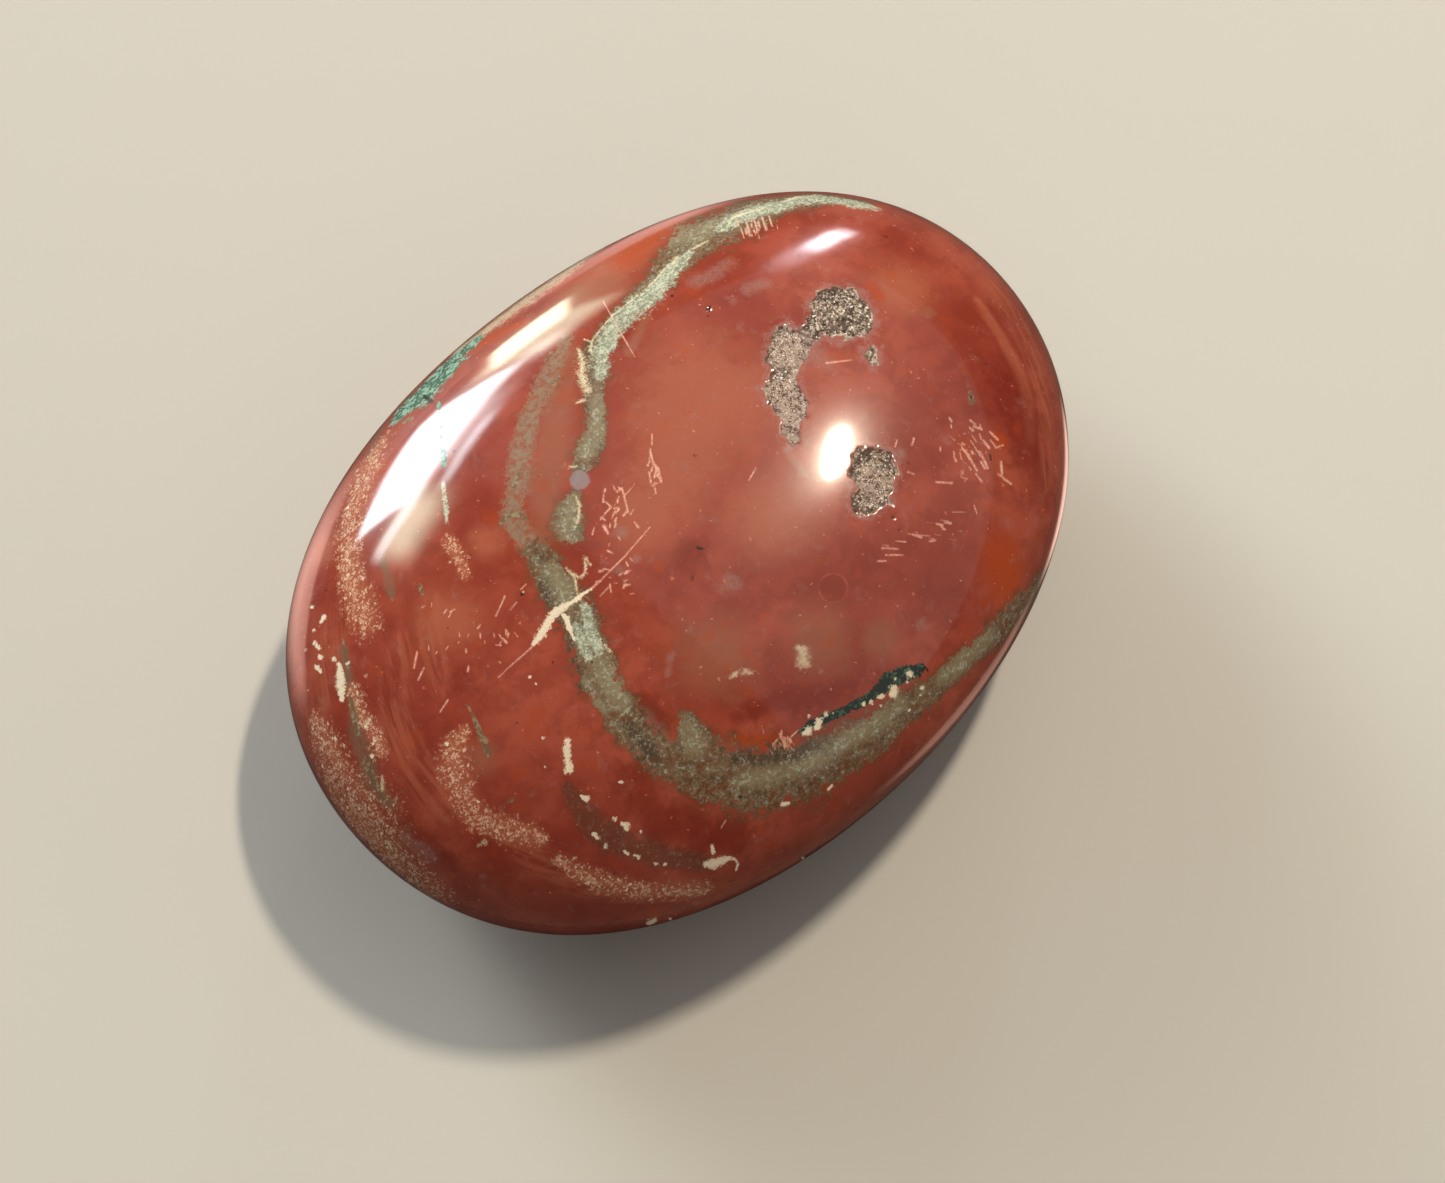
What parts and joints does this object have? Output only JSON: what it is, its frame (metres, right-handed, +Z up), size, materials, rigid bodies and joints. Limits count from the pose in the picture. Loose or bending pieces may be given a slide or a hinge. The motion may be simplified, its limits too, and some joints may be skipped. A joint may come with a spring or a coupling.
{
  "type": "jasper palm stone",
  "caption": "Polished oval jasper stone with banded markings and shallow crystal-lined pits, shaped to be held in the palm or to lie on a table.",
  "frame": {"origin": "on the small flat that the stone rests on, under the middle of its outline", "axes": "+X along the stone's long axis, +Y across it, +Z up out of the crown"},
  "size_m": [0.0692, 0.05, 0.0255],
  "materials": {
    "jasper": "high polish over mottled red jasper with olive and cream bands",
    "druse": "fine grey-brown quartz crystals, unpolished"
  },
  "bodies": {
    "root": {"palm_stone": "jasper"}
  },
  "joints": []
}
